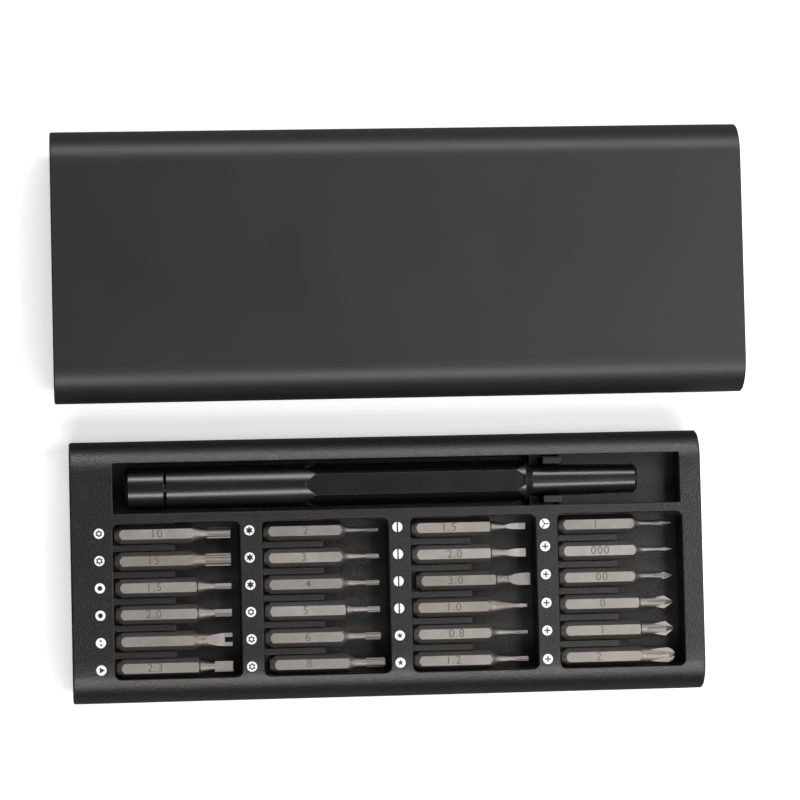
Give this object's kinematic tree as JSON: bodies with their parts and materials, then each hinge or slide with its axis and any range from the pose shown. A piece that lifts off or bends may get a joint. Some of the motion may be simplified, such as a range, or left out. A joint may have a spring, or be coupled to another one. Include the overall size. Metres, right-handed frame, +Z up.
{
  "type": "precision screwdriver set",
  "caption": "Flat aluminium sleeve beside its slide-in bit tray, with a slim driver handle in a long slot and rows of small hex bits in ribbed pockets.",
  "frame": {"origin": "centre of the tray's underside, in the laid-out pose", "axes": "+X along the tray towards the handle's nose, +Y from the tray to the sleeve, +Z up out of the tray"},
  "size_m": [0.1655, 0.1364, 0.017],
  "materials": {
    "tray_plastic": "fine spark-eroded grain, black",
    "cover_plastic": "fine grain, black",
    "screw_steel": "black zinc",
    "magnet_nickel": "nickel plated",
    "striker_steel": "plain",
    "sleeve_aluminium": "bead blasted, charcoal anodised",
    "dot_felt": "pressed felt",
    "plug_plastic": "fine grain, black",
    "latch_plastic": "plain",
    "spring_steel": "plain",
    "handle_aluminium": "satin, black anodised",
    "socket_steel": "plain",
    "bearing_brass": "plain",
    "bit_steel": "satin, warm grey"
  },
  "bodies": {
    "sleeve": {"outer_sleeve": "sleeve_aluminium", "glide_dots": "dot_felt", "end_plug": "plug_plastic", "plug_screws": "screw_steel", "latch_housing": "latch_plastic", "latch_spring": "spring_steel"},
    "latch": {"latch_plunger": "latch_plastic", "plunger_magnet": "magnet_nickel"},
    "swing_dot": {"pivot_dot": "dot_felt"},
    "slide_magnet": {"nose_magnet": "magnet_nickel"},
    "tray": {"tray": "tray_plastic", "base_cover": "cover_plastic", "base_screws": "screw_steel", "bit_magnets": "magnet_nickel", "striker_plate": "striker_steel"},
    "handle": {"handle_body": "handle_aluminium", "bit_socket": "socket_steel", "socket_magnet": "magnet_nickel", "cap_axle": "screw_steel"},
    "cap": {"handle_cap": "handle_aluminium", "cap_bearing": "bearing_brass"},
    "bit_lobe_pin_27": {"bit_lobe_pin_27": "bit_steel"},
    "bit_lobe_pin_32": {"bit_lobe_pin_32": "bit_steel"},
    "bit_hex_15": {"bit_hex_15": "bit_steel"},
    "bit_hex_20": {"bit_hex_20": "bit_steel"},
    "bit_fork": {"bit_fork": "bit_steel"},
    "bit_triangle": {"bit_triangle": "bit_steel"},
    "bit_lobe_09": {"bit_lobe_09": "bit_steel"},
    "bit_lobe_10": {"bit_lobe_10": "bit_steel"},
    "bit_lobe_12": {"bit_lobe_12": "bit_steel"},
    "bit_lobe_14": {"bit_lobe_14": "bit_steel"},
    "bit_lobe_pin_16": {"bit_lobe_pin_16": "bit_steel"},
    "bit_lobe_pin_22": {"bit_lobe_pin_22": "bit_steel"},
    "bit_slot_15": {"bit_slot_15": "bit_steel"},
    "bit_slot_20": {"bit_slot_20": "bit_steel"},
    "bit_slot_30": {"bit_slot_30": "bit_steel"},
    "bit_slot_10": {"bit_slot_10": "bit_steel"},
    "bit_five_lobe_08": {"bit_five_lobe_08": "bit_steel"},
    "bit_five_lobe_12": {"bit_five_lobe_12": "bit_steel"},
    "bit_tri_wing": {"bit_tri_wing": "bit_steel"},
    "bit_cross_000": {"bit_cross_000": "bit_steel"},
    "bit_cross_00": {"bit_cross_00": "bit_steel"},
    "bit_cross_0": {"bit_cross_0": "bit_steel"},
    "bit_cross_1": {"bit_cross_1": "bit_steel"},
    "bit_cross_2": {"bit_cross_2": "bit_steel"}
  },
  "joints": [
    {"name": "latch_push", "type": "slide", "parent": "sleeve", "child": "latch", "axis": [-1, 0, 0], "range_m": [-0.003, 0], "deforming": ["latch_spring"]},
    {"name": "tray_swing", "type": "hinge", "parent": "sleeve", "child": "swing_dot", "pos_m": [-0.03, 0.05623, 0.0006], "axis": [0, -0.0192, 0.9998], "range_deg": [-180, 0]},
    {"name": "tray_slide", "type": "slide", "parent": "swing_dot", "child": "slide_magnet", "axis": [1, 0, 0], "range_m": [-0.16685, 0]},
    {"name": "tray_level", "type": "hinge", "parent": "slide_magnet", "child": "tray", "pos_m": [0.055, 0.0198, 0.00135], "axis": [0, -0.0192, 0.9998], "range_deg": [0, 180]},
    {"name": "handle_lift", "type": "slide", "parent": "tray", "child": "handle", "axis": [0, 0, 1], "range_m": [0, 0.03]},
    {"name": "cap_spin", "type": "hinge", "parent": "handle", "child": "cap", "pos_m": [-0.058, 0.0198, 0.0083], "axis": [1, 0, 0], "continuous": true},
    {"name": "bit_lobe_pin_27_lift", "type": "slide", "parent": "tray", "child": "bit_lobe_pin_27", "axis": [0, 0, 1], "range_m": [0, 0.02]},
    {"name": "bit_lobe_pin_32_lift", "type": "slide", "parent": "tray", "child": "bit_lobe_pin_32", "axis": [0, 0, 1], "range_m": [0, 0.02]},
    {"name": "bit_hex_15_lift", "type": "slide", "parent": "tray", "child": "bit_hex_15", "axis": [0, 0, 1], "range_m": [0, 0.02]},
    {"name": "bit_hex_20_lift", "type": "slide", "parent": "tray", "child": "bit_hex_20", "axis": [0, 0, 1], "range_m": [0, 0.02]},
    {"name": "bit_fork_lift", "type": "slide", "parent": "tray", "child": "bit_fork", "axis": [0, 0, 1], "range_m": [0, 0.02]},
    {"name": "bit_triangle_lift", "type": "slide", "parent": "tray", "child": "bit_triangle", "axis": [0, 0, 1], "range_m": [0, 0.02]},
    {"name": "bit_lobe_09_lift", "type": "slide", "parent": "tray", "child": "bit_lobe_09", "axis": [0, 0, 1], "range_m": [0, 0.02]},
    {"name": "bit_lobe_10_lift", "type": "slide", "parent": "tray", "child": "bit_lobe_10", "axis": [0, 0, 1], "range_m": [0, 0.02]},
    {"name": "bit_lobe_12_lift", "type": "slide", "parent": "tray", "child": "bit_lobe_12", "axis": [0, 0, 1], "range_m": [0, 0.02]},
    {"name": "bit_lobe_14_lift", "type": "slide", "parent": "tray", "child": "bit_lobe_14", "axis": [0, 0, 1], "range_m": [0, 0.02]},
    {"name": "bit_lobe_pin_16_lift", "type": "slide", "parent": "tray", "child": "bit_lobe_pin_16", "axis": [0, 0, 1], "range_m": [0, 0.02]},
    {"name": "bit_lobe_pin_22_lift", "type": "slide", "parent": "tray", "child": "bit_lobe_pin_22", "axis": [0, 0, 1], "range_m": [0, 0.02]},
    {"name": "bit_slot_15_lift", "type": "slide", "parent": "tray", "child": "bit_slot_15", "axis": [0, 0, 1], "range_m": [0, 0.02]},
    {"name": "bit_slot_20_lift", "type": "slide", "parent": "tray", "child": "bit_slot_20", "axis": [0, 0, 1], "range_m": [0, 0.02]},
    {"name": "bit_slot_30_lift", "type": "slide", "parent": "tray", "child": "bit_slot_30", "axis": [0, 0, 1], "range_m": [0, 0.02]},
    {"name": "bit_slot_10_lift", "type": "slide", "parent": "tray", "child": "bit_slot_10", "axis": [0, 0, 1], "range_m": [0, 0.02]},
    {"name": "bit_five_lobe_08_lift", "type": "slide", "parent": "tray", "child": "bit_five_lobe_08", "axis": [0, 0, 1], "range_m": [0, 0.02]},
    {"name": "bit_five_lobe_12_lift", "type": "slide", "parent": "tray", "child": "bit_five_lobe_12", "axis": [0, 0, 1], "range_m": [0, 0.02]},
    {"name": "bit_tri_wing_lift", "type": "slide", "parent": "tray", "child": "bit_tri_wing", "axis": [0, 0, 1], "range_m": [0, 0.02]},
    {"name": "bit_cross_000_lift", "type": "slide", "parent": "tray", "child": "bit_cross_000", "axis": [0, 0, 1], "range_m": [0, 0.02]},
    {"name": "bit_cross_00_lift", "type": "slide", "parent": "tray", "child": "bit_cross_00", "axis": [0, 0, 1], "range_m": [0, 0.02]},
    {"name": "bit_cross_0_lift", "type": "slide", "parent": "tray", "child": "bit_cross_0", "axis": [0, 0, 1], "range_m": [0, 0.02]},
    {"name": "bit_cross_1_lift", "type": "slide", "parent": "tray", "child": "bit_cross_1", "axis": [0, 0, 1], "range_m": [0, 0.02]},
    {"name": "bit_cross_2_lift", "type": "slide", "parent": "tray", "child": "bit_cross_2", "axis": [0, 0, 1], "range_m": [0, 0.02]}
  ],
  "couplings": [
    {"joint": "tray_level", "follows": "tray_swing", "ratio": -1}
  ]
}
